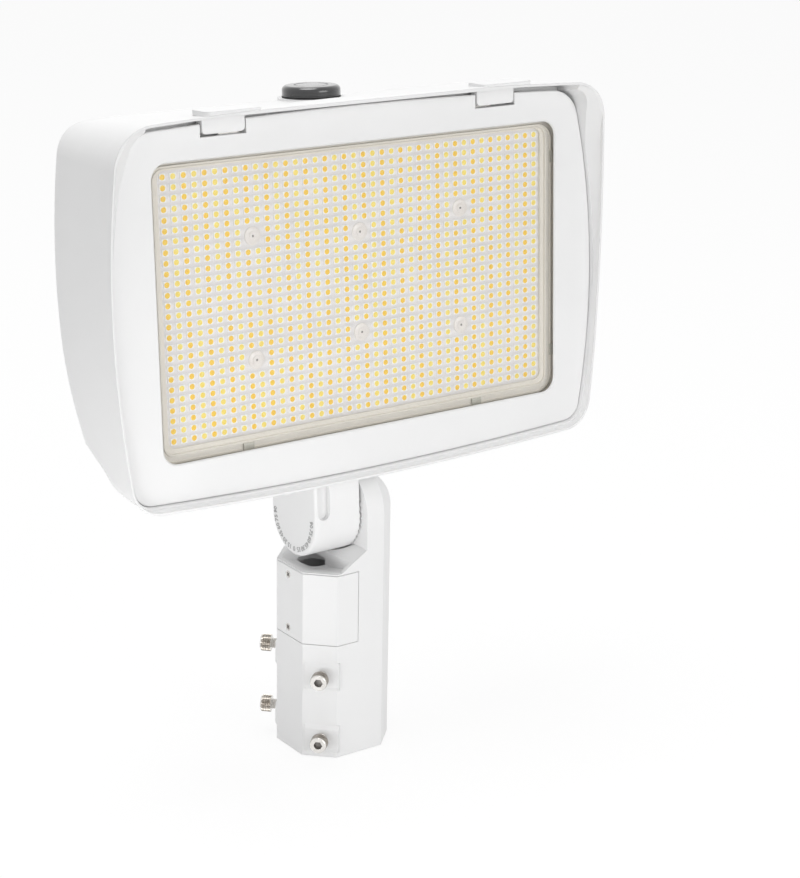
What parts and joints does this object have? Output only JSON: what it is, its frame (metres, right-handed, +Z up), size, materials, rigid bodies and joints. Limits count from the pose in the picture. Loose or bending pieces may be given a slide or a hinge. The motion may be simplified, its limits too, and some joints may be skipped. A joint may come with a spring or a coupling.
{
  "type": "led floodlight",
  "caption": "Box floodlight with a hinged glass door under a visor, a twist-lock photocell and a toothed tilting slip fitter for a pole tenon.",
  "frame": {"origin": "centre of the tenon socket's mouth, on the socket's axis", "axes": "+Z up along the socket's axis, -Y the way the lens faces, +X to the right seen from the front"},
  "size_m": [0.4148, 0.1138, 0.4974],
  "materials": {
    "white_enamel": "white powder coat, fine texture",
    "tray_metal": "mill finish sheet",
    "board_white": "cream solder mask on a metal-core board",
    "cream_moulding": "cream moulded frame",
    "warm_phosphor": "warm white package, orange phosphor",
    "cool_phosphor": "cool white package, yellow phosphor",
    "clear_glass": "clear tempered glass",
    "black_rubber": "black silicone seal",
    "cream_rubber": "cream silicone seal",
    "stainless": "stainless steel",
    "black_gloss": "glossy black moulding",
    "black_matte": "black moulding",
    "driver_case": "grey painted case",
    "contact_brass": "plated contact"
  },
  "bodies": {
    "mount": {"slip_fitter": "white_enamel", "wiring_cover": "white_enamel", "cover_gasket": "black_rubber", "cover_screws": "stainless", "clamp_bolts": "stainless", "tilt_bolt": "stainless", "tilt_washer": "stainless"},
    "head": {"housing": "white_enamel", "gear_tray": "tray_metal", "tray_screws": "stainless", "led_board": "board_white", "board_screws": "stainless", "warm_leds": "warm_phosphor", "cool_leds": "cool_phosphor", "light_frame": "cream_moulding", "led_driver_left": "driver_case", "led_driver_right": "driver_case", "driver_screws": "stainless", "surge_protector": "black_matte", "terminal_block": "black_matte", "photocell_socket": "black_matte", "photocell_gasket": "black_rubber", "door_gasket": "black_rubber", "door_screws": "stainless"},
    "door": {"door_frame": "white_enamel", "hinge_pins": "stainless", "lens": "clear_glass", "lens_gasket": "cream_rubber", "lens_clips": "stainless", "clip_screws": "stainless"},
    "photocell_cap": {"photocell": "black_gloss", "photocell_blades": "contact_brass"}
  },
  "joints": [
    {"name": "head_tilt", "type": "hinge", "parent": "mount", "child": "head", "pos_m": [0, 0, 0.184], "axis": [1, 0, 0], "range_deg": [-50, 60]},
    {"name": "door_swing", "type": "hinge", "parent": "head", "child": "door", "pos_m": [0, -0.02981, 0.48522], "axis": [-1, 0, 0], "range_deg": [0, 25]},
    {"name": "photocell_twist", "type": "hinge", "parent": "head", "child": "photocell_cap", "pos_m": [-0.003, 0.02882, 0.48584], "axis": [0, 0.0576, 0.9983], "range_deg": [0, 20]}
  ]
}
